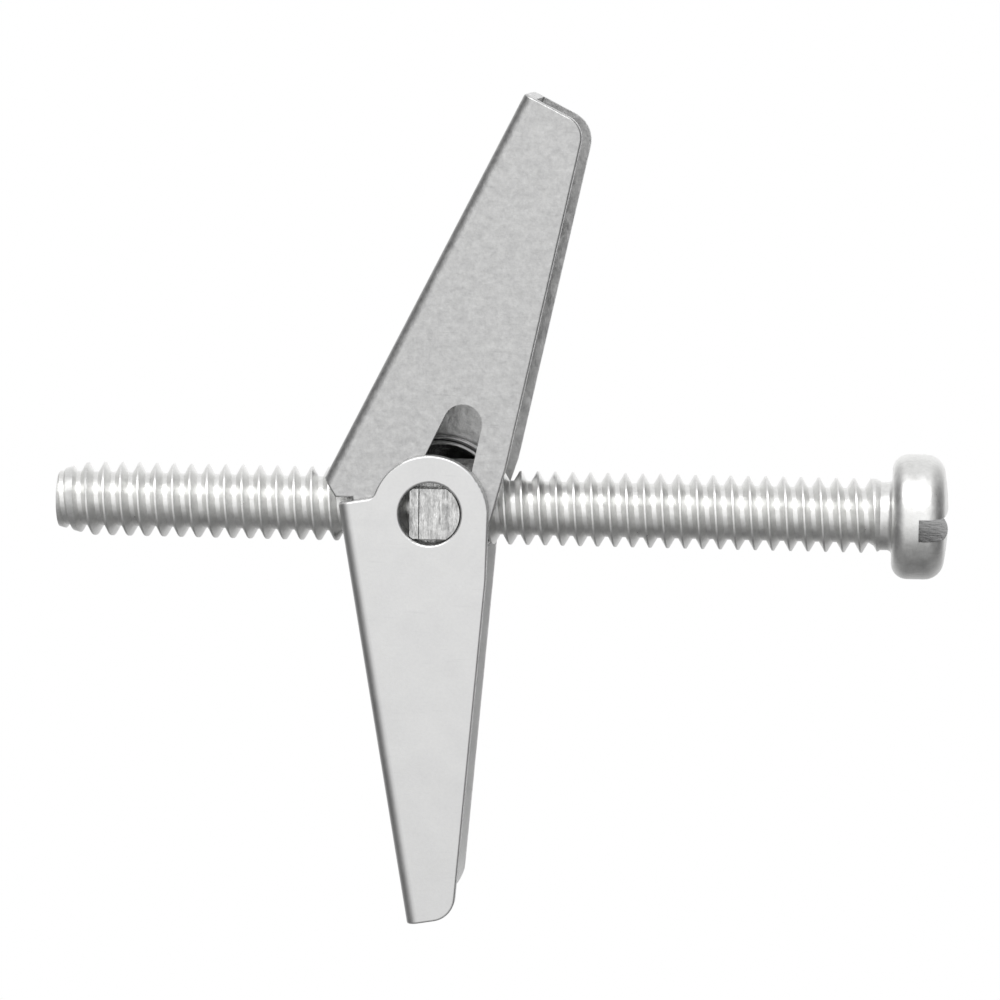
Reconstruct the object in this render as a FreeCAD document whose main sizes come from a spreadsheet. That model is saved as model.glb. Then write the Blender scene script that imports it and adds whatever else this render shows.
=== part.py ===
import FreeCAD, Part
import math
import os

import Sketcher
from FreeCAD import Placement, Rotation, Vector

# Spring-wing toggle bolt, in millimetres.
# The origin is the centre of the screw head's bearing face. +X points out through the head,
# +Z is up, and the wings turn about an axis along Y.

doc = FreeCAD.newDocument("toggle_bolt")

# ---------------------------------------------------------------- driving sizes

SIZES = {
    # machine screw, 3/16 inch by 24 threads per inch, 2 inches long
    "screw_length": 50.55,
    "thread_pitch": 1.0583,
    "crest_radius": 2.24,
    "groove_radius": 1.64,
    "groove_floor": 0.26,
    "groove_overcut": 0.15,
    "last_crest": 1.25,
    "tip_radius": 1.75,
    "tip_taper": 1.9,
    "neck_radius": 2.05,
    "neck_length": 0.7,
    "neck_fillet": 0.27,
    "runout_length": 1.35,
    "taper_length": 1.0,
    "head_radius": 3.76,
    "head_rim": 2.95,
    "head_height": 3.38,
    "head_inner_fillet": 0.95,
    "head_outer_fillet": 1.2,
    "slot_width": 1.35,
    "slot_depth": 1.8,
    "slot_tilt": 7.0,
    # where the wings' pivot stands on the screw, measured back from the head
    "pivot_distance": 27.49,
    # wings, bent from one sheet thickness; the upper one nests inside the lower one
    "sheet": 0.75,
    "inner_half_gap": 3.05,
    "nest_gap": 0.05,
    "wing_root": 1.45,
    "bend_outer": 0.72,
    "bend_inner": 0.15,
    "edge_slope": 0.262,
    "hole_radius": 1.87,
    "hole_fillet": 0.14,
    "notch_half_width": 2.7,
    "notch_bottom": 1.95,
    "notch_fillet": 1.4,
    "ear_fillet": 0.6,
    "knee_distance": 4.5,
    "upper_web": 6.63,
    "upper_tip": 24.74,
    "upper_ear": 3.58,
    "upper_near_edge": 3.92,
    "upper_far_edge": 4.12,
    "upper_angle": 26.86,
    "lower_web": 5.38,
    "lower_tip": 24.4,
    "lower_ear": 3.5,
    "lower_near_edge": 3.86,
    "lower_far_edge": 3.64,
    "lower_angle": 9.86,
    "upper_near_corner": 1.4,
    "lower_near_corner": 1.5,
    "upper_far_corner": 1.8,
    "lower_far_corner": 2.2,
    # the upper wing's root, which stops against the root of the lower wing's web
    "lip_start": 1.2,
    "lip_reach": 1.88,
    "lip_height": 5.49,
    "nick_reach": 1.39,
    "nick_height": 4.62,
    "heel_reach": 1.81,
    "heel_height": 4.24,
    "waist_reach": 1.6,
    "waist_height": 3.2,
    "window_distance": 5.62,
    "window_offset": 0.78,
    "window_radius": 1.18,
    "window_root_radius": 1.85,
    "rim_rounding": 0.13,
    # trunnion nut, folded sheet with a drawn collar
    "trunnion_radius": 1.8,
    "trunnion_half_height": 1.5,
    "trunnion_recess": 0.12,
    "plate_back": 1.2,
    "plate_front": 0.25,
    "plate_half_height": 2.75,
    "nut_half_width": 2.95,
    "collar_radius": 2.9,
    "collar_front": 2.6,
    "nut_bore": 2.29,
    "seam_position": 0.64,
    "seam_width": 0.07,
    "seam_depth": 0.5,
    # torsion spring, a flat coil beside the screw with a leg into each wing
    "wire_radius": 0.16,
    "coil_radius": 3.35,
    "coil_growth": 0.35,
    "coil_clearance": 0.04,
    "leg_crossing": 0.33,
    "leg_reach": 8.5,
    "leg_bend": 0.6,
    "leg_end": 1.6,
}

sheet = doc.addObject("Spreadsheet::Sheet", "sizes")
for row, (alias, size) in enumerate(SIZES.items(), start=1):
    sheet.set(f"A{row}", alias)
    sheet.set(f"B{row}", str(size))
    sheet.setAlias(f"B{row}", alias)
doc.recompute()


class Size:
    """A number together with the sheet formula that gives it."""

    def __init__(self, number, formula):
        self.number = number
        self.formula = formula

    def __add__(self, other):
        other = as_size(other)
        return Size(self.number + other.number, f"({self.formula} + {other.formula})")

    def __sub__(self, other):
        other = as_size(other)
        return Size(self.number - other.number, f"({self.formula} - {other.formula})")

    def __mul__(self, other):
        other = as_size(other)
        return Size(self.number * other.number, f"({self.formula} * {other.formula})")

    def __truediv__(self, other):
        other = as_size(other)
        return Size(self.number / other.number, f"({self.formula} / {other.formula})")

    def __neg__(self):
        return Size(-self.number, f"(0 - {self.formula})")

    def root(self):
        return Size(math.sqrt(self.number), f"sqrt({self.formula})")


def as_size(value):
    return value if isinstance(value, Size) else Size(value, str(value))


def cell(alias):
    """The named cell of the sheet."""
    return Size(float(sheet.get(alias)), f"sizes.{alias}")


# ---------------------------------------------------------------- sketch and feature helpers


def new_body(label):
    body = doc.addObject("PartDesign::Body", label)
    body.Label = label
    doc.recompute()
    return body


def new_sketch(body, plane_role, name):
    """An empty sketch on one of the body's own origin planes."""
    plane = [item for item in body.Origin.OriginFeatures if item.Role == plane_role][0]
    sketch = body.newObject("Sketcher::SketchObject", name)
    sketch.AttachmentSupport = (plane, [""])
    sketch.MapMode = "FlatFace"
    return sketch


def bind(sketch, constraint, size):
    """Add a dimension to the sketch and tie it to the sheet."""
    index = sketch.addConstraint(constraint)
    sketch.setExpression(f"Constraints[{index}]", size.formula)


def pin_point(sketch, geometry, point, across, along):
    """Fix a sketch point at two sheet-driven distances from the sketch origin."""
    bind(sketch, Sketcher.Constraint("DistanceX", -1, 1, geometry, point, across.number), across)
    bind(sketch, Sketcher.Constraint("DistanceY", -1, 1, geometry, point, along.number), along)


def draw_outline(sketch, corners):
    """A closed outline of straight sides through the corners."""
    corners = [(as_size(across), as_size(along)) for across, along in corners]
    first = sketch.GeometryCount
    count = len(corners)
    for index in range(count):
        start = corners[index]
        end = corners[(index + 1) % count]
        start_point = Vector(start[0].number, start[1].number, 0)
        end_point = Vector(end[0].number, end[1].number, 0)
        sketch.addGeometry(Part.LineSegment(start_point, end_point))
    for index in range(count):
        following = first + (index + 1) % count
        sketch.addConstraint(Sketcher.Constraint("Coincident", first + index, 2, following, 1))
    for index, (across, along) in enumerate(corners):
        pin_point(sketch, first + index, 1, across, along)


def draw_circle(sketch, across, along, radius):
    centre = Vector(as_size(across).number, as_size(along).number, 0)
    index = sketch.addGeometry(Part.Circle(centre, Vector(0, 0, 1), radius.number))
    bind(sketch, Sketcher.Constraint("Radius", index, radius.number), radius)
    pin_point(sketch, index, 3, as_size(across), as_size(along))


def outline_sketch(body, plane_role, name, corners):
    sketch = new_sketch(body, plane_role, name)
    draw_outline(sketch, corners)
    doc.recompute()
    return sketch


def circle_sketch(body, plane_role, name, across, along, radius):
    sketch = new_sketch(body, plane_role, name)
    draw_circle(sketch, across, along, radius)
    doc.recompute()
    return sketch


def extrude(body, kind, name, sketch, length):
    """A Pad or Pocket of the sketch, the given length centred on the sketch plane."""
    before = body.Shape.Volume if body.Tip else 0.0
    feature = body.newObject(f"PartDesign::{kind}", name)
    feature.Profile = sketch
    feature.SideType = "Symmetric"
    feature.Length = length.number
    feature.setExpression("Length", length.formula)
    doc.recompute()
    check_change(feature, kind, before, body.Shape.Volume)
    return feature


def extrude_side(body, name, sketch, length, side):
    """A Pad of an upright sketch towards -Y or +Y only."""
    before = body.Shape.Volume if body.Tip else 0.0
    feature = body.newObject("PartDesign::Pad", name)
    feature.Profile = sketch
    feature.Length = length.number
    feature.setExpression("Length", length.formula)
    feature.Reversed = side > 0
    doc.recompute()
    check_change(feature, "Pad", before, body.Shape.Volume)


def check_change(feature, kind, before, after):
    """Stop when a feature that should add material removes none or the other way round."""
    grows = kind in ("Pad", "Revolution")
    if (after > before + 1e-4) != grows:
        raise RuntimeError(f"{feature.Name} changed the volume from {before:.4f} to {after:.4f}")


def revolve(body, name, sketch):
    """Turn the sketch once round the screw's own axis."""
    before = body.Shape.Volume if body.Tip else 0.0
    feature = body.newObject("PartDesign::Revolution", name)
    feature.Profile = sketch
    feature.ReferenceAxis = (sketch, ["H_Axis"])
    feature.Angle = 360
    doc.recompute()
    check_change(feature, "Revolution", before, body.Shape.Volume)
    return feature


def edges_where(feature, wanted):
    """Names of the feature's edges for which the test is true."""
    edges = enumerate(feature.Shape.Edges, start=1)
    return [f"Edge{index}" for index, edge in edges if wanted(edge)]


def fillet_edges(body, name, radius, wanted):
    """Round those edges of the body's present shape that the test picks."""
    base = body.Tip
    names = edges_where(base, wanted)
    if not names:
        raise RuntimeError(f"{name} found no edge")
    feature = body.newObject("PartDesign::Fillet", name)
    feature.Base = (base, names)
    feature.Radius = radius.number
    feature.setExpression("Radius", radius.formula)
    doc.recompute()
    return feature


def middle(edge):
    return edge.valueAt((edge.FirstParameter + edge.LastParameter) / 2)


def close(one, other, tolerance=0.02):
    return abs(one - other) < tolerance


# ---------------------------------------------------------------- machine screw


def build_screw():
    body = new_body("machine_screw")
    length = cell("screw_length")
    crest = cell("crest_radius")
    runout = cell("runout_length")
    shank = outline_sketch(
        body,
        "XZ_Plane",
        "shank_outline",
        [
            (-length, 0),
            (-length, cell("tip_radius")),
            (-length + cell("tip_taper"), crest),
            (-cell("taper_length"), crest),
            (-cell("neck_length"), cell("neck_radius") + 0.04),
            (-cell("neck_length"), cell("neck_radius")),
            (0.5, cell("neck_radius")),
            (0.5, 0),
        ],
    )
    revolve(body, "shank", shank)
    cut_thread(body)
    runout_fill = outline_sketch(
        body,
        "XZ_Plane",
        "runout_outline",
        [
            (-runout, 0),
            (-runout, cell("groove_radius") - 0.01),
            (-cell("neck_length"), cell("neck_radius") - 0.02),
            (0.5, cell("neck_radius")),
            (0.5, 0),
        ],
    )
    revolve(body, "thread_runout", runout_fill)
    add_head(body)
    return body


def cut_thread(body):
    """One groove with 60 degree flanks, wound right-handed from beyond the screw's end."""
    pitch = cell("thread_pitch")
    crest = cell("crest_radius")
    floor = cell("groove_radius")
    half_floor = cell("groove_floor") / 2
    opening = crest + cell("groove_overcut")
    flank = math.tan(math.radians(30))
    half_opening = half_floor + (opening - floor) * flank
    turns_to_end = 47.5
    start = -cell("last_crest") - pitch * turns_to_end
    groove = outline_sketch(
        body,
        "XZ_Plane",
        "groove_section",
        [
            (start - half_floor, floor),
            (start + half_floor, floor),
            (start + half_opening, opening),
            (start - half_opening, opening),
        ],
    )
    before = body.Shape.Volume
    thread = body.newObject("PartDesign::SubtractiveHelix", "thread")
    thread.Profile = groove
    thread.ReferenceAxis = (groove, ["H_Axis"])
    thread.Mode = 0
    thread.Pitch = pitch.number
    thread.setExpression("Pitch", pitch.formula)
    wound = -start - cell("neck_length") - 0.2
    thread.Height = wound.number
    thread.setExpression("Height", wound.formula)
    thread.LeftHanded = False
    thread.Angle = 0
    thread.Growth = 0
    thread.Reversed = False
    doc.recompute()
    check_change(thread, "Pocket", before, body.Shape.Volume)


def add_head(body):
    """Fillister head: straight side, domed end, both rims and the neck rounded, one slot across it."""
    radius = cell("head_radius")
    rim = cell("head_rim")
    height = cell("head_height")
    sketch = new_sketch(body, "XZ_Plane", "head_outline")
    sagitta = height - rim
    dome = (radius * radius + sagitta * sagitta) / (sagitta * 2)
    centre_x = height.number - dome.number
    rim_angle = math.atan2(radius.number, rim.number - centre_x)
    sketch.addGeometry(Part.LineSegment(Vector(0, 0, 0), Vector(0, radius.number, 0)))
    sketch.addGeometry(Part.LineSegment(Vector(0, radius.number, 0), Vector(rim.number, radius.number, 0)))
    circle = Part.Circle(Vector(centre_x, 0, 0), Vector(0, 0, 1), dome.number)
    sketch.addGeometry(Part.ArcOfCircle(circle, 0, rim_angle))
    sketch.addGeometry(Part.LineSegment(Vector(height.number, 0, 0), Vector(0, 0, 0)))
    sketch.addConstraint(Sketcher.Constraint("Coincident", 0, 2, 1, 1))
    sketch.addConstraint(Sketcher.Constraint("Coincident", 1, 2, 2, 2))
    sketch.addConstraint(Sketcher.Constraint("Coincident", 2, 1, 3, 1))
    sketch.addConstraint(Sketcher.Constraint("Coincident", 3, 2, 0, 1))
    nothing = as_size(0)
    pin_point(sketch, 0, 1, nothing, nothing)
    pin_point(sketch, 1, 1, nothing, radius)
    pin_point(sketch, 1, 2, rim, radius)
    pin_point(sketch, 3, 1, height, nothing)
    bind(sketch, Sketcher.Constraint("Radius", 2, dome.number), dome)
    doc.recompute()
    revolve(body, "head", sketch)

    def is_rim(edge, distance):
        box = edge.BoundBox
        at_distance = close(box.XMin, distance) and close(box.XMax, distance)
        return at_distance and close(box.ZMax, radius.number)

    def is_neck(edge):
        box = edge.BoundBox
        at_face = close(box.XMin, 0.0) and close(box.XMax, 0.0)
        return at_face and close(box.ZMax, cell("neck_radius").number)

    fillet_edges(body, "neck_fillet", cell("neck_fillet"), is_neck)
    fillet_edges(body, "head_inner_rim", cell("head_inner_fillet"), lambda edge: is_rim(edge, 0.0))
    fillet_edges(body, "head_outer_rim", cell("head_outer_fillet"), lambda edge: is_rim(edge, rim.number))
    cut_slot(body)


def cut_slot(body):
    """Straight driver slot, open at both ends, turned a little about the screw's axis."""
    half_width = cell("slot_width") / 2
    reach = cell("head_radius") + 1
    floor = cell("head_height") - cell("slot_depth")
    sketch = outline_sketch(
        body,
        "YZ_Plane",
        "slot_outline",
        [
            (-reach, -half_width),
            (reach, -half_width),
            (reach, half_width),
            (-reach, half_width),
        ],
    )
    tilt = cell("slot_tilt")
    offset = Vector(0, 0, floor.number)
    sketch.AttachmentOffset = Placement(offset, Rotation(Vector(0, 0, 1), tilt.number))
    sketch.setExpression("AttachmentOffset.Base.z", floor.formula)
    sketch.setExpression("AttachmentOffset.Rotation.Angle", tilt.formula)
    doc.recompute()
    before = body.Shape.Volume
    slot = body.newObject("PartDesign::Pocket", "driver_slot")
    slot.Profile = sketch
    slot.Length = 5
    slot.Reversed = True
    doc.recompute()
    check_change(slot, "Pocket", before, body.Shape.Volume)


# ---------------------------------------------------------------- wings


def build_wing(label, web, tip, ear, edges, corners, root_outline, half_gap, rest, window):
    """
    One stamped wing, a U-shaped channel that narrows to its tip.

    In the wing's own frame the pivot is the origin, +X runs along the wing and the web is at +Z.
    Each side's free edge is straight from the tip to the knee, where it turns onto the ear's
    circle; edges are the distances, for the -Y and the +Y side, at which that straight line would
    pass under the pivot, and corners the radii at the same two sides' tips.
    """
    body = new_body(label)
    sheet_size = cell("sheet")
    root = cell("wing_root")
    half_width = half_gap + sheet_size
    width = half_width * 2
    slope = cell("edge_slope")
    for name, side, edge in (("left", -1, edges[0]), ("right", 1, edges[1])):
        knee = (cell("knee_distance"), slope * cell("knee_distance") - edge)
        blank = outline_sketch(
            body,
            "XZ_Plane",
            f"{name}_outline",
            [
                *root_outline,
                (tip, web),
                (tip, slope * tip - edge),
                knee,
                touch_point(knee, ear),
                (-root, 0),
            ],
        )
        extrude_side(body, f"{name}_block", blank, half_width, side)
    disc = circle_sketch(body, "XZ_Plane", "ear_outline", 0, 0, ear)
    extrude(body, "Pad", "ears", disc, width)

    def on_plane(edge, height):
        box = edge.BoundBox
        return close(box.ZMin, height) and close(box.ZMax, height)

    def runs_along(edge):
        return edge.BoundBox.XLength > 10

    def is_bend(edge):
        return on_plane(edge, web.number) and runs_along(edge)

    fillet_edges(body, "outer_bends", cell("bend_outer"), is_bend)
    inside = outline_sketch(
        body,
        "XZ_Plane",
        "channel_outline",
        [
            (-root - 10, web - sheet_size),
            (tip + 5, web - sheet_size),
            (tip + 5, -web),
            (-root - 10, -web),
        ],
    )
    extrude(body, "Pocket", "channel", inside, half_gap * 2)

    inner_height = (web - sheet_size).number

    def is_inner_bend(edge):
        box = edge.BoundBox
        return on_plane(edge, inner_height) and runs_along(edge) and abs(box.YMin) < half_width.number

    fillet_edges(body, "inner_bends", cell("bend_inner"), is_inner_bend)

    if not window:
        junction = (ear * ear - root * root).root().number

        def is_junction(edge):
            centre = middle(edge)
            return close(centre.x, -root.number) and close(centre.z, junction)

        fillet_edges(body, "ear_junctions", cell("ear_fillet"), is_junction)

    def is_tip_corner(edge, side):
        centre = middle(edge)
        free_tip = (slope * tip - edges[side > 0]).number
        return close(centre.x, tip.number) and close(centre.z, free_tip) and centre.y * side > 0

    fillet_edges(body, "left_tip_corner", corners[0], lambda edge: is_tip_corner(edge, -1))
    fillet_edges(body, "right_tip_corner", corners[1], lambda edge: is_tip_corner(edge, 1))
    cut_notch(body, web)

    def is_outer_rim(edge):
        box = edge.BoundBox
        outside = close(abs(box.YMin), half_width.number) and close(box.YMin, box.YMax)
        is_bend_line = runs_along(edge) and box.ZMin > 0 and close(box.ZMin, box.ZMax)
        return outside and not is_bend_line

    fillet_edges(body, "outer_rims", cell("rim_rounding"), is_outer_rim)
    pivot = circle_sketch(body, "XZ_Plane", "pivot_outline", 0, 0, cell("hole_radius"))
    extrude(body, "Pocket", "pivot_holes", pivot, width + 1)

    def is_hole_rim(edge):
        box = edge.BoundBox
        outside = close(abs(box.YMin), half_width.number) and close(box.YMin, box.YMax)
        return outside and close(box.XLength, 2 * cell("hole_radius").number)

    fillet_edges(body, "hole_rims", cell("hole_fillet"), is_hole_rim)
    if window:
        cut_window(body, width)
    turn = Rotation(Vector(0, 1, 0), rest)
    if not window:
        turn = turn.multiply(Rotation(Vector(1, 0, 0), 180))
    body.Placement = Placement(Vector(-cell("pivot_distance").number, 0, 0), turn)
    return body


def touch_point(point, radius):
    """Where a line from the point touches the circle of the ear, on the free edge's side."""
    across, along = point
    square = across * across + along * along
    run = radius * (square - radius * radius).root()
    touch_across = (radius * radius * across + run * along) / square
    touch_along = (radius * radius * along - run * across) / square
    return touch_across, touch_along


def cut_notch(body, web):
    """The web is cut back at its root, between the ears, to let the screw through."""
    half_width = cell("notch_half_width")
    bottom = cell("notch_bottom")
    start = -cell("wing_root") - 1
    notch = outline_sketch(
        body,
        "XY_Plane",
        "notch_outline",
        [
            (start, -half_width),
            (bottom, -half_width),
            (bottom, half_width),
            (start, half_width),
        ],
    )
    extrude(body, "Pocket", "screw_notch", notch, web * 2 + 2)

    def is_notch_corner(edge):
        centre = middle(edge)
        at_bottom = close(centre.x, bottom.number) and close(abs(centre.y), half_width.number)
        return at_bottom and close(edge.BoundBox.ZLength, cell("sheet").number)

    fillet_edges(body, "notch_corners", cell("notch_fillet"), is_notch_corner)


def cut_window(body, width):
    """Egg-shaped opening that joins the near ear's hole and ends in a smaller circle."""
    big = cell("window_root_radius")
    small = cell("window_radius")
    along = cell("window_distance")
    offset = cell("window_offset")
    distance = math.hypot(along.number, offset.number)
    lean = math.atan2(offset.number, along.number)
    spread = math.acos((big.number - small.number) / distance)
    sketch = new_sketch(body, "XZ_Plane", "window_outline")
    big_circle = Part.Circle(Vector(0, 0, 0), Vector(0, 0, 1), big.number)
    small_circle = Part.Circle(Vector(along.number, offset.number, 0), Vector(0, 0, 1), small.number)
    high = lean + spread
    low = lean - spread

    def rim(radius, angle, across=0.0, up=0.0):
        return Vector(across + radius * math.cos(angle), up + radius * math.sin(angle), 0)

    sketch.addGeometry(Part.ArcOfCircle(big_circle, high, low + 2 * math.pi))
    sketch.addGeometry(Part.ArcOfCircle(small_circle, low, high))
    far_low = rim(small.number, low, along.number, offset.number)
    far_high = rim(small.number, high, along.number, offset.number)
    sketch.addGeometry(Part.LineSegment(rim(big.number, low), far_low))
    sketch.addGeometry(Part.LineSegment(far_high, rim(big.number, high)))
    sketch.addConstraint(Sketcher.Constraint("Tangent", 0, 2, 2, 1))
    sketch.addConstraint(Sketcher.Constraint("Tangent", 2, 2, 1, 1))
    sketch.addConstraint(Sketcher.Constraint("Tangent", 1, 2, 3, 1))
    sketch.addConstraint(Sketcher.Constraint("Tangent", 3, 2, 0, 1))
    bind(sketch, Sketcher.Constraint("Radius", 0, big.number), big)
    bind(sketch, Sketcher.Constraint("Radius", 1, small.number), small)
    pin_point(sketch, 0, 3, as_size(0), as_size(0))
    pin_point(sketch, 1, 3, along, offset)
    doc.recompute()
    before = body.Shape.Volume
    feature = body.newObject("PartDesign::Pocket", "window")
    feature.Profile = sketch
    feature.Length = width.number
    feature.setExpression("Length", width.formula)
    feature.Reversed = True
    doc.recompute()
    check_change(feature, "Pocket", before, body.Shape.Volume)


# ---------------------------------------------------------------- trunnion nut


def build_nut():
    """A folded plate across the screw, a drawn collar round it and a trunnion out of each side."""
    body = new_body("trunnion_nut")
    outer_face = cell("inner_half_gap") + cell("sheet") * 2 + cell("nest_gap")
    half_length = outer_face - cell("trunnion_recess")
    half_width = cell("nut_half_width")
    back = cell("plate_back")
    front = cell("plate_front")
    height = cell("trunnion_half_height")
    barrel = circle_sketch(body, "XZ_Plane", "trunnion_outline", 0, 0, cell("trunnion_radius"))
    extrude(body, "Pad", "trunnions", barrel, half_length * 2)
    reach = cell("trunnion_radius") + 1
    flats = new_sketch(body, "XZ_Plane", "flat_outlines")
    draw_outline(flats, [(-reach, height), (reach, height), (reach, reach), (-reach, reach)])
    draw_outline(flats, [(-reach, -reach), (reach, -reach), (reach, -height), (-reach, -height)])
    doc.recompute()
    extrude(body, "Pocket", "flats", flats, half_length * 2 + 1)
    behind = outline_sketch(
        body,
        "XZ_Plane",
        "back_outline",
        [(-reach, -reach), (-back, -reach), (-back, reach), (-reach, reach)],
    )
    extrude(body, "Pocket", "trunnion_back", behind, half_length * 2 + 1)
    seam = cell("seam_position")
    seam_half = cell("seam_width") / 2
    slit = outline_sketch(
        body,
        "XZ_Plane",
        "seam_outline",
        [
            (-seam - seam_half, -reach),
            (-seam + seam_half, -reach),
            (-seam + seam_half, reach),
            (-seam - seam_half, reach),
        ],
    )
    cut_seams(body, slit, half_length)
    plate_height = cell("plate_half_height")
    plate = outline_sketch(
        body,
        "XZ_Plane",
        "plate_outline",
        [(-back, -plate_height), (front, -plate_height), (front, plate_height), (-back, plate_height)],
    )
    extrude(body, "Pad", "plate", plate, half_width * 2)
    collar = outline_sketch(
        body,
        "XZ_Plane",
        "collar_outline",
        [
            (front - 0.2, 0),
            (front - 0.2, cell("collar_radius")),
            (cell("collar_front"), cell("collar_radius")),
            (cell("collar_front"), 0),
        ],
    )
    revolve(body, "collar", collar)
    bore = circle_sketch(body, "YZ_Plane", "bore_outline", 0, 0, cell("nut_bore"))
    extrude(body, "Pocket", "bore", bore, reach * 4)
    body.Placement = Placement(Vector(-cell("pivot_distance").number, 0, 0), Rotation())
    return body


def cut_seams(body, sketch, half_length):
    """The line where the folded sheet's two layers meet, sunk into each trunnion's end."""
    depth = cell("seam_depth")
    for name, side in (("near_seam", 1), ("far_seam", -1)):
        copy = sketch
        if side < 0:
            copy = doc.copyObject(sketch, False)
            body.addObject(copy)
        before = body.Shape.Volume
        start = half_length - depth
        copy.AttachmentOffset = Placement(Vector(0, 0, side * start.number), Rotation())
        formula = start.formula if side > 0 else f"0 - {start.formula}"
        copy.setExpression("AttachmentOffset.Base.z", formula)
        doc.recompute()
        feature = body.newObject("PartDesign::Pocket", name)
        feature.Profile = copy
        feature.Length = 3
        feature.Reversed = side > 0
        doc.recompute()
        check_change(feature, "Pocket", before, body.Shape.Volume)


# ---------------------------------------------------------------- torsion spring


def wing_point(angle, along, inward, side):
    """A point of a wing's own side plane, as X and Z from the pivot."""
    turn = math.radians(angle)
    x = along * math.sin(turn) - inward * math.cos(turn)
    z = along * math.cos(turn) + inward * math.sin(turn)
    return x, z * side


def build_spring():
    """
    Two turns of flat coil round the trunnion, beside the screw.

    The inner turn's leg crosses behind the coil to the upper wing, the outer turn's leg goes
    straight to the lower wing, and each leg ends in a bar across its wing's web.
    """
    wire = cell("wire_radius").number
    first_radius = cell("coil_radius").number
    growth = cell("coil_growth").number / 360
    plane = cell("crest_radius").number + cell("coil_clearance").number + wire
    crossing = cell("leg_crossing").number
    reach = cell("leg_reach").number
    sheet_size = cell("sheet").number
    upper = wing_point(
        cell("upper_angle").number, reach, cell("upper_web").number - sheet_size - wire - 0.02, 1
    )
    lower = wing_point(
        cell("lower_angle").number, reach, cell("lower_web").number - sheet_size - wire - 0.02, -1
    )
    start = tangent_angle(upper, first_radius, 1)
    last_radius = first_radius + growth * 740
    end = tangent_angle(lower, last_radius, -1) + 720

    def coil_point(angle):
        """A point of the coil; the angle starts where the upper leg meets it."""
        turned = angle - start
        radius = first_radius + growth * turned
        shift = 0.5 + 0.5 * math.cos(math.pi * min(1.0, max(0.0, (turned - 20) / 90)))
        around = math.radians(angle)
        return Vector(radius * math.cos(around), plane + crossing * shift, radius * math.sin(around))

    steps = 96
    points = [coil_point(start + (end - start) * step / steps) for step in range(steps + 1)]
    upper_end = Vector(upper[0], plane + crossing, upper[1])
    lower_end = Vector(lower[0], plane, lower[1])
    upper_run = (points[0] - upper_end).normalize()
    lower_run = (lower_end - points[-1]).normalize()
    coil = Part.BSplineCurve()
    coil.interpolate(Points=points)
    edges = bar_and_bend(upper_end, upper_run)
    edges.append(Part.LineSegment(edges[-1].EndPoint, points[0]))
    edges.append(coil)
    tail = bar_and_bend(lower_end, -lower_run)
    edges.append(Part.LineSegment(points[-1], tail[-1].EndPoint))
    bend, bar = tail[-1], tail[0]
    edges.append(Part.Arc(bend.EndPoint, bend.value(0.5 * (bend.FirstParameter + bend.LastParameter)),
                          bend.StartPoint))
    edges.append(Part.LineSegment(bar.EndPoint, bar.StartPoint))
    path = Part.Wire([edge.toShape() for edge in edges])
    section = Part.Wire(Part.makeCircle(wire, edges[0].StartPoint, Vector(0, 1, 0)))
    sweep = path.makePipeShell([section], True, False)
    spring = doc.addObject("Part::Feature", "torsion_spring")
    spring.Label = "torsion_spring"
    spring.Shape = sweep
    spring.Placement = Placement(Vector(-cell("pivot_distance").number, 0, 0), Rotation())
    return spring


def bar_and_bend(corner, run):
    """The bar across a web and the bend that leads it into the leg running off along run."""
    bend = cell("leg_bend").number
    across = Vector(0, 1, 0)
    bar_start = Vector(corner.x, -cell("leg_end").number, corner.z)
    bar_end = corner - across * bend
    leg_start = corner + run * bend
    hub = corner - across * bend + run * bend
    middle_way = hub + (corner - hub).normalize() * bend
    return [Part.LineSegment(bar_start, bar_end), Part.Arc(bar_end, middle_way, leg_start)]


def tangent_angle(point, radius, side):
    """Where a straight leg from the point meets the coil, on its side away from the head."""
    distance = math.hypot(point[0], point[1])
    bearing = math.degrees(math.atan2(point[1], point[0])) % 360
    return bearing + side * math.degrees(math.acos(radius / distance))


# ---------------------------------------------------------------- the pieces

inner_gap = cell("inner_half_gap")
outer_gap = inner_gap + cell("sheet") + cell("nest_gap")
upper_root = [
    (-cell("waist_reach"), cell("waist_height")),
    (-cell("heel_reach"), cell("heel_height")),
    (-cell("nick_reach"), cell("nick_height")),
    (-cell("lip_reach"), cell("lip_height")),
    (-cell("lip_start"), cell("upper_web")),
]
pieces = [
    build_screw(),
    build_nut(),
    build_spring(),
    build_wing(
        "upper_wing",
        cell("upper_web"),
        cell("upper_tip"),
        cell("upper_ear"),
        (cell("upper_near_edge"), cell("upper_far_edge")),
        (cell("upper_near_corner"), cell("upper_far_corner")),
        upper_root,
        inner_gap,
        cell("upper_angle").number - 90,
        True,
    ),
    build_wing(
        "lower_wing",
        cell("lower_web"),
        cell("lower_tip"),
        cell("lower_ear"),
        (cell("lower_far_edge"), cell("lower_near_edge")),
        (cell("lower_far_corner"), cell("lower_near_corner")),
        [(-cell("wing_root"), cell("lower_web"))],
        outer_gap,
        90 - cell("lower_angle").number,
        False,
    ),
]
doc.recompute()

# ---------------------------------------------------------------- checks and files

for item in doc.Objects:
    if "Invalid" in item.State or "Error" in item.State:
        raise RuntimeError(f"{item.Name} is {item.State}")
for piece in pieces:
    shape = piece.Shape
    if shape.isNull() or not shape.isValid() or len(shape.Solids) != 1:
        raise RuntimeError(f"{piece.Label} is not one valid solid")

os.makedirs("parts", exist_ok=True)
for piece in pieces:
    piece.Shape.exportStep(f"parts/{piece.Label}.step")
    print(piece.Label, round(piece.Shape.Volume, 3), piece.Shape.BoundBox)
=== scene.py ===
import math

import bmesh
import bpy
from mathutils import Matrix, Vector


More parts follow.
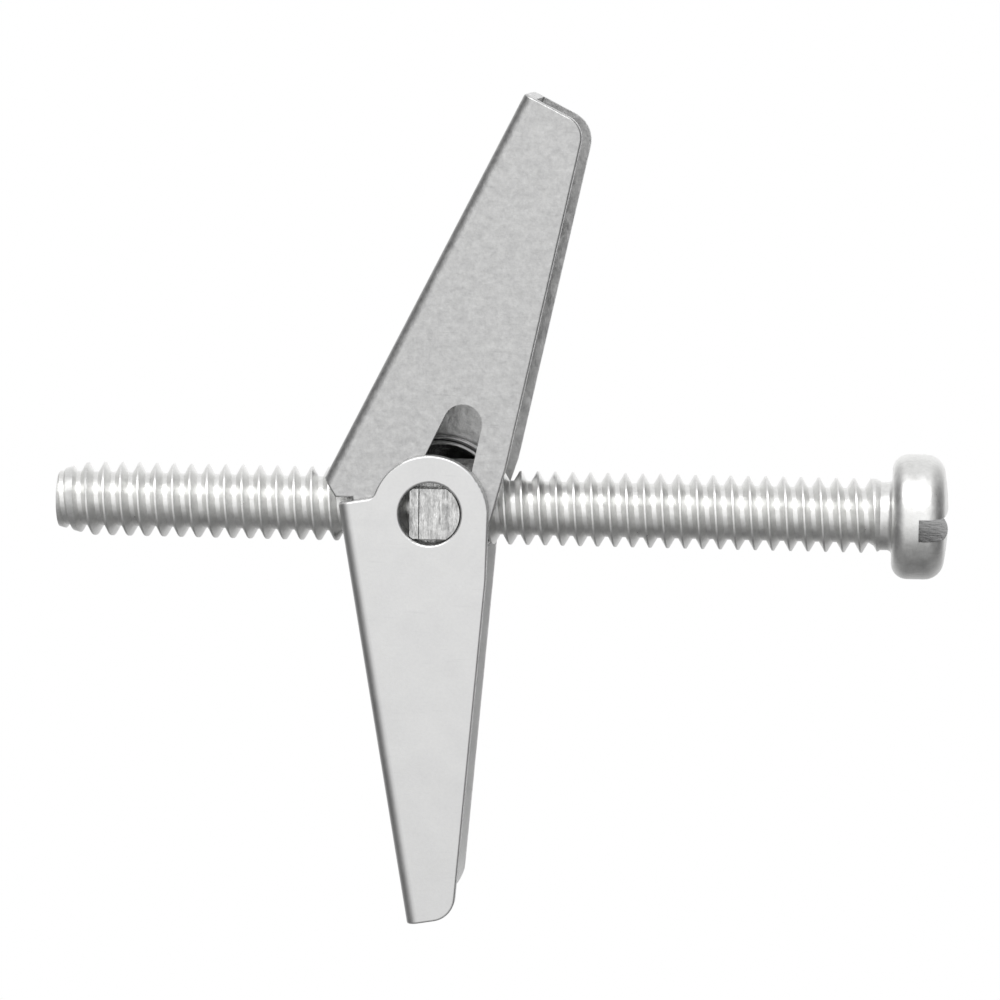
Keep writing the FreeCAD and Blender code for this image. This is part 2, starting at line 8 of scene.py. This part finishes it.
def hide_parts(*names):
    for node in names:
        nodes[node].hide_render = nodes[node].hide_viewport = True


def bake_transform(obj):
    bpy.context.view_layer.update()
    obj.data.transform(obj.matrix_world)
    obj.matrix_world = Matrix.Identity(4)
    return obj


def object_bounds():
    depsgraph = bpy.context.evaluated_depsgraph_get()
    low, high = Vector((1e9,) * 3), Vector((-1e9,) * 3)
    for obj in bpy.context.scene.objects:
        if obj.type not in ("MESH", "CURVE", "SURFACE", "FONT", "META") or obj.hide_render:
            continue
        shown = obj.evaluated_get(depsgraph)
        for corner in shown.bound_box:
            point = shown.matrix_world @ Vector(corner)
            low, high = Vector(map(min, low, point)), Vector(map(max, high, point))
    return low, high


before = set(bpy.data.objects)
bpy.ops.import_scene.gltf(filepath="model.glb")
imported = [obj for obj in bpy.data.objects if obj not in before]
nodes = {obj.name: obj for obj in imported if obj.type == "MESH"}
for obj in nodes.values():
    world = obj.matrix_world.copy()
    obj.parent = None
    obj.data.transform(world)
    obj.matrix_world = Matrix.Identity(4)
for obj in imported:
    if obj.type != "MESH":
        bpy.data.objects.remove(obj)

cad_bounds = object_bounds()
MM = 0.001

# how far each wing leans from upright, and the inside half width of its channel
UPPER_ANGLE = math.radians(26.86)
LOWER_ANGLE = math.radians(9.86)
UPPER_HALF_GAP = 3.0 * MM
LOWER_HALF_GAP = 3.8 * MM

# the driver slot: its floor from the head's bearing face, its half width and its turn
SLOT_FLOOR = 1.58 * MM
SLOT_HALF_WIDTH = 0.675 * MM
SLOT_TILT = math.radians(7)
NEARLY = 0.01 * MM


# ---------------------------------------------------------------- node helpers


def new_material(name):
    """A material with an empty node tree, its Principled shader and output."""
    material = bpy.data.materials.new(name)
    material.use_nodes = True
    tree = material.node_tree
    tree.nodes.clear()
    output = tree.nodes.new("ShaderNodeOutputMaterial")
    shader = tree.nodes.new("ShaderNodeBsdfPrincipled")
    tree.links.new(shader.outputs["BSDF"], output.inputs["Surface"])
    return material, tree, shader


def noise(tree, vector, scale, detail=3.0, roughness=0.5, distortion=0.0):
    node = tree.nodes.new("ShaderNodeTexNoise")
    node.inputs["Scale"].default_value = scale
    node.inputs["Detail"].default_value = detail
    node.inputs["Roughness"].default_value = roughness
    node.inputs["Distortion"].default_value = distortion
    tree.links.new(vector, node.inputs["Vector"])
    return node.outputs["Fac"]


def stretched(tree, scale, turn=(0.0, 0.0, 0.0)):
    """Object coordinates in millimetres, stretched by the scale."""
    place = tree.nodes.new("ShaderNodeTexCoord")
    mapping = tree.nodes.new("ShaderNodeMapping")
    mapping.inputs["Scale"].default_value = [value / MM for value in scale]
    mapping.inputs["Rotation"].default_value = [math.radians(angle) for angle in turn]
    tree.links.new(place.outputs["Object"], mapping.inputs["Vector"])
    return mapping.outputs["Vector"]


def spread(tree, value, low, high, to_low, to_high):
    """The value's range from low to high stretched over another range."""
    node = tree.nodes.new("ShaderNodeMapRange")
    node.inputs["From Min"].default_value = low
    node.inputs["From Max"].default_value = high
    node.inputs["To Min"].default_value = to_low
    node.inputs["To Max"].default_value = to_high
    tree.links.new(value, node.inputs["Value"])
    return node.outputs["Result"]


def combine(tree, kind, first, second):
    node = tree.nodes.new("ShaderNodeMath")
    node.operation = kind
    for index, value in enumerate((first, second)):
        if isinstance(value, float):
            node.inputs[index].default_value = value
        else:
            tree.links.new(value, node.inputs[index])
    return node.outputs["Value"]


def weighted(tree, first, first_share, second, second_share):
    """The sum of two values, each times its own share."""
    return combine(
        tree,
        "ADD",
        combine(tree, "MULTIPLY", first, first_share),
        combine(tree, "MULTIPLY", second, second_share),
    )


def grey_ramp(tree, value, dark, light):
    ramp = tree.nodes.new("ShaderNodeValToRGB")
    ramp.color_ramp.elements[0].color = (*dark, 1.0)
    ramp.color_ramp.elements[1].color = (*light, 1.0)
    tree.links.new(value, ramp.inputs["Fac"])
    return ramp.outputs["Color"]


def bump(tree, shader, height, distance):
    node = tree.nodes.new("ShaderNodeBump")
    node.inputs["Strength"].default_value = 1.0
    node.inputs["Distance"].default_value = distance
    tree.links.new(height, node.inputs["Height"])
    tree.links.new(node.outputs["Normal"], shader.inputs["Normal"])


# ---------------------------------------------------------------- materials


def plated_steel(name, dark, light, smooth, rough, patch, ripple, grain):
    """
    Bright zinc plating, or a darker or lighter copy of it that carries painted shade or painted
    light.

    dark and light are the colours of its cloudy patches, smooth and rough the roughness between
    them, patch the patches' size and ripple and grain the height of its waves and pits, in mm.
    """
    material, tree, shader = new_material(name)
    place = stretched(tree, (1.0, 1.0, 1.0))
    clouds = noise(tree, place, 1.0 / patch, 4.0, 0.65, 0.4)
    fine = noise(tree, place, 5.0, 3.0, 0.6)
    mixed = weighted(tree, clouds, 0.6, fine, 0.4)
    scratched = combine(tree, "ADD", mixed, scratches(tree))
    colour = grey_ramp(tree, spread(tree, scratched, 0.32, 0.68, 0.0, 1.0), dark, light)
    tree.links.new(colour, shader.inputs["Base Color"])
    shader.inputs["Metallic"].default_value = 1.0
    tree.links.new(spread(tree, mixed, 0.3, 0.7, smooth, rough), shader.inputs["Roughness"])
    waves = noise(tree, place, 0.8 / patch, 2.0, 0.4)
    pits = noise(tree, place, 14.0, 2.0, 0.5)
    bump(tree, shader, weighted(tree, waves, ripple, pits, grain), MM)
    return material


def scratches(tree):
    """Short fine handling marks in two directions, darker than the plating round them."""
    marks = []
    for turn in (35.0, -50.0):
        place = stretched(tree, (0.5, 0.5, 7.0), (0.0, turn, 0.0))
        lines = noise(tree, place, 1.0, 1.0, 0.5)
        marks.append(spread(tree, lines, 0.7, 0.78, 0.0, -0.1))
    return combine(tree, "ADD", marks[0], marks[1])


def scored_steel(name, dark, light, rough, scale, depth):
    """
    Plated steel with score marks, such as a sheared edge's across its thickness.

    scale is the marks' count per mm along each axis and depth their depth in mm.
    """
    material, tree, shader = new_material(name)
    scores = noise(tree, stretched(tree, scale), 1.0, 4.0, 0.7)
    clouds = noise(tree, stretched(tree, (1.0, 1.0, 1.0)), 1.2, 3.0, 0.6)
    mixed = weighted(tree, scores, 0.6, clouds, 0.4)
    colour = grey_ramp(tree, spread(tree, mixed, 0.35, 0.65, 0.0, 1.0), dark, light)
    tree.links.new(colour, shader.inputs["Base Color"])
    shader.inputs["Metallic"].default_value = 1.0
    tree.links.new(spread(tree, mixed, 0.35, 0.65, rough + 0.1, rough), shader.inputs["Roughness"])
    bump(tree, shader, combine(tree, "MULTIPLY", scores, depth), MM)
    return material


# Both wings are the same plated sheet. The upper wing's colours are darker as painted shade and the
# lower wing's are lighter as painted light, for how the light falls on each.
upper_zinc_painted_shade = plated_steel(
    "bright_zinc_upper_painted_shade", (0.48, 0.48, 0.48), (0.69, 0.69, 0.685), 0.28, 0.42, 0.45, 0.03, 0.005
)
lower_zinc_painted_light = plated_steel(
    "bright_zinc_lower_painted_light", (0.74, 0.74, 0.74), (0.83, 0.83, 0.825), 0.3, 0.4, 2.2, 0.02, 0.003
)
cut_steel = scored_steel(
    "bright_zinc_cut_edge", (0.5, 0.5, 0.5), (0.9, 0.9, 0.9), 0.42, (9.0, 0.7, 9.0), 0.06
)
# The faces inside the screw's slot: a darker copy of the plating, as painted shade in the recess.
slot_painted_shade = plated_steel(
    "zinc_slot_painted_shade", (0.1, 0.1, 0.1), (0.55, 0.55, 0.55), 0.25, 0.5, 0.35, 0.08, 0.01
)
screw_steel = plated_steel(
    "bright_zinc_screw", (0.76, 0.76, 0.75), (0.95, 0.95, 0.94), 0.26, 0.42, 0.9, 0.05, 0.006
)
nut_steel = scored_steel(
    "bright_zinc_nut", (0.3, 0.3, 0.3), (0.95, 0.95, 0.94), 0.2, (3.2, 3.2, 0.45), 0.12
)
spring_steel = plated_steel(
    "plated_wire", (0.5, 0.5, 0.5), (0.74, 0.74, 0.74), 0.16, 0.28, 0.6, 0.01, 0.002
)


def paint(name, material):
    """The whole CAD node in one material."""
    mesh = nodes[name].data
    mesh.materials.clear()
    mesh.materials.append(material)


def paint_wing(name, material, web_normal, inner_half_gap):
    """The wing's sheet in one material and its sheared edges in another."""
    mesh = nodes[name].data
    mesh.materials.clear()
    mesh.materials.append(material)
    mesh.materials.append(cut_steel)
    for face in mesh.polygons:
        across_sheet = abs(face.normal.y) < 0.35
        web_outside = face.normal.dot(web_normal) > 0.9
        web_inside = face.normal.dot(web_normal) < -0.9 and abs(face.center.y) < inner_half_gap
        face.material_index = int(across_sheet and not web_outside and not web_inside)


def paint_screw():
    """The screw bright, and the faces inside its slot painted darker as shade in the recess."""
    mesh = nodes["machine_screw"].data
    paint("machine_screw", screw_steel)
    # second material: painted shade on the faces inside the slot
    mesh.materials.append(slot_painted_shade)
    slot_across = Vector((0.0, -math.sin(SLOT_TILT), math.cos(SLOT_TILT)))
    for face in mesh.polygons:
        beyond_floor = face.center.x > SLOT_FLOOR - NEARLY
        between_walls = abs(face.center.dot(slot_across)) < SLOT_HALF_WIDTH + NEARLY
        face.material_index = int(beyond_floor and between_walls)


upper_web_normal = Vector((-math.cos(UPPER_ANGLE), 0.0, math.sin(UPPER_ANGLE)))
lower_web_normal = Vector((-math.cos(LOWER_ANGLE), 0.0, -math.sin(LOWER_ANGLE)))
paint_wing("upper_wing", upper_zinc_painted_shade, upper_web_normal, UPPER_HALF_GAP)
paint_wing("lower_wing", lower_zinc_painted_light, lower_web_normal, LOWER_HALF_GAP)
paint_screw()
paint("trunnion_nut", nut_steel)
paint("torsion_spring", spring_steel)


# ---------------------------------------------------------------- spring


def half_spring(name, side):
    """Half the spring, from the middle of its coil to one wing, with the leg on that wing's side.
    """
    mesh = nodes["torsion_spring"].data.copy()
    mesh.name = name
    work = bmesh.new()
    work.from_mesh(mesh)
    everything = work.verts[:] + work.edges[:] + work.faces[:]
    bmesh.ops.bisect_plane(
        work, geom=everything, plane_co=(0.0, 0.0, 0.0), plane_no=(0.0, 0.0, side), clear_inner=True
    )
    bmesh.ops.holes_fill(work, edges=[edge for edge in work.edges if edge.is_boundary], sides=0)
    work.to_mesh(mesh)
    work.free()
    piece = bpy.data.objects.new(name, mesh)
    bpy.context.collection.objects.link(piece)
    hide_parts("torsion_spring")
    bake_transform(piece)


half_spring("spring_upper_half", 1.0)
half_spring("spring_lower_half", -1.0)


# ---------------------------------------------------------------- floor, light and camera


def pale_floor(height, half_size):
    """A plain pale floor, bright to the eye; the metal reflects the studio instead of it."""
    bpy.ops.mesh.primitive_plane_add(size=2 * half_size, location=(0.0, 0.0, height))
    floor = bpy.context.object
    floor.name = "floor"
    material = bpy.data.materials.new("pale_floor")
    material.use_nodes = True
    tree = material.node_tree
    tree.nodes.clear()
    output = tree.nodes.new("ShaderNodeOutputMaterial")
    glow = tree.nodes.new("ShaderNodeEmission")
    glow.inputs["Color"].default_value = (1.0, 1.0, 1.0, 1.0)
    glow.inputs["Strength"].default_value = 1.0
    tree.links.new(glow.outputs["Emission"], output.inputs["Surface"])
    floor.visible_diffuse = False
    floor.visible_glossy = False
    floor.visible_shadow = False
    floor.data.materials.append(material)


def softbox(name, position, target, width, height, power):
    data = bpy.data.lights.new(name, "AREA")
    data.shape = "RECTANGLE"
    data.size = width
    data.size_y = height
    data.energy = power
    light = bpy.data.objects.new(name, data)
    bpy.context.collection.objects.link(light)
    light.location = position
    direction = Vector(target) - Vector(position)
    light.rotation_euler = direction.to_track_quat("-Z", "Y").to_euler()


def studio_world(sky, wall, ground, side_light):
    """
    White to the eye; what the metal reflects goes from bright overhead to dim below.

    The walls before and behind the bolt are at full brightness and those at its ends at side_light.
    """
    world = bpy.data.worlds.new("studio")
    bpy.context.scene.world = world
    world.use_nodes = True
    tree = world.node_tree
    tree.nodes.clear()
    output = tree.nodes.new("ShaderNodeOutputWorld")
    path = tree.nodes.new("ShaderNodeLightPath")
    mix = tree.nodes.new("ShaderNodeMixShader")
    white = tree.nodes.new("ShaderNodeBackground")
    room = tree.nodes.new("ShaderNodeBackground")
    place = tree.nodes.new("ShaderNodeTexCoord")
    split = tree.nodes.new("ShaderNodeSeparateXYZ")
    ramp = tree.nodes.new("ShaderNodeValToRGB")
    stops = ramp.color_ramp.elements
    levels = ((0.0, ground), (0.38, 0.7 * wall), (0.5, wall), (1.0, sky))
    stops[0].position, stops[1].position = levels[0][0], levels[-1][0]
    for position, _ in levels[1:-1]:
        stops.new(position)
    for stop, (_, level) in zip(stops, levels):
        stop.color = (level, level, level, 1.0)
    tree.links.new(place.outputs["Generated"], split.inputs["Vector"])
    up = spread(tree, split.outputs["Z"], -1.0, 1.0, 0.0, 1.0)
    tree.links.new(up, ramp.inputs["Fac"])
    tree.links.new(ramp.outputs["Color"], room.inputs["Color"])
    sideways = combine(tree, "ABSOLUTE", split.outputs["X"], 0.0)
    tree.links.new(spread(tree, sideways, 0.35, 0.95, 1.0, side_light), room.inputs["Strength"])
    tree.links.new(path.outputs["Is Camera Ray"], mix.inputs["Fac"])
    tree.links.new(room.outputs["Background"], mix.inputs[1])
    tree.links.new(white.outputs["Background"], mix.inputs[2])
    white.inputs["Color"].default_value = (1.0, 1.0, 1.0, 1.0)
    tree.links.new(mix.outputs["Shader"], output.inputs["Surface"])


def place_camera(azimuth, elevation, roll, distance, focal_length, target):
    """A long lens looking down a little at the bolt."""
    data = bpy.data.cameras.new("camera")
    data.lens = focal_length
    data.sensor_width = 36.0
    data.clip_start = 0.01
    data.clip_end = 20.0
    camera = bpy.data.objects.new("camera", data)
    bpy.context.collection.objects.link(camera)
    across = math.radians(azimuth)
    above = math.radians(elevation)
    back = Vector(
        (math.sin(across) * math.cos(above), -math.cos(across) * math.cos(above), math.sin(above))
    )
    right = Vector((math.cos(across), math.sin(across), 0.0))
    up = back.cross(right)
    turn = math.radians(roll)
    rolled_right = right * math.cos(turn) + up * math.sin(turn)
    rolled_up = up * math.cos(turn) - right * math.sin(turn)
    axes = Matrix((rolled_right, rolled_up, back)).transposed().to_4x4()
    camera.matrix_world = Matrix.Translation(Vector(target) + back * distance) @ axes
    bpy.context.scene.camera = camera


lowest = cad_bounds[0][2]
middle_of_bolt = (-25 * MM, 0.0, 0.0)
pale_floor(lowest - 12 * MM, 4.0)
studio_world(0.8, 1.15, 0.16, 0.16)
softbox("key", (-0.1, -0.36, 0.45), middle_of_bolt, 0.6, 0.3, 1.4)
place_camera(
    azimuth=4.7394,
    elevation=6.3381,
    roll=0.769,
    distance=0.27351,
    focal_length=162.64,
    target=(-0.023652, 0.0, 0.000446),
)
bpy.context.scene.view_settings.view_transform = "Standard"
bpy.context.scene.view_settings.look = "None"
